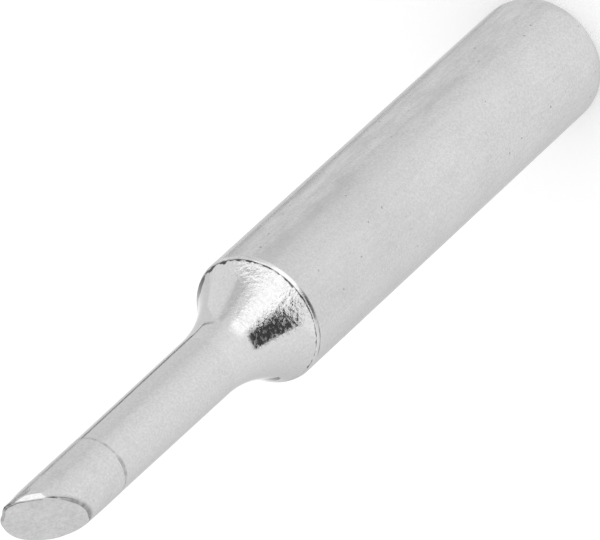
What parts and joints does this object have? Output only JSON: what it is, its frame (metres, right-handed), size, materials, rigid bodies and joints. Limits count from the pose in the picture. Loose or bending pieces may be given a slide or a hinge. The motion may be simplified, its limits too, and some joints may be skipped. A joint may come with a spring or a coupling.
{
  "type": "soldering iron tip",
  "caption": "Slip-on soldering iron tip: hollow round barrel, concave flare, slim shank and a bevelled, tinned working end.",
  "frame": {"origin": "centre of the rear face, at the mouth of the heater bore", "axes": "+Z along the turned axis to the working end; the bevelled face looks towards -X and up"},
  "size_m": [0.0064, 0.0064, 0.0453],
  "materials": {
    "plated_tip": "satin bright plating over copper, with fine pits and faint streaks along the barrel; the last 5 mm is tinned"
  },
  "bodies": {
    "root": {"soldering_tip": "plated_tip"}
  },
  "joints": []
}
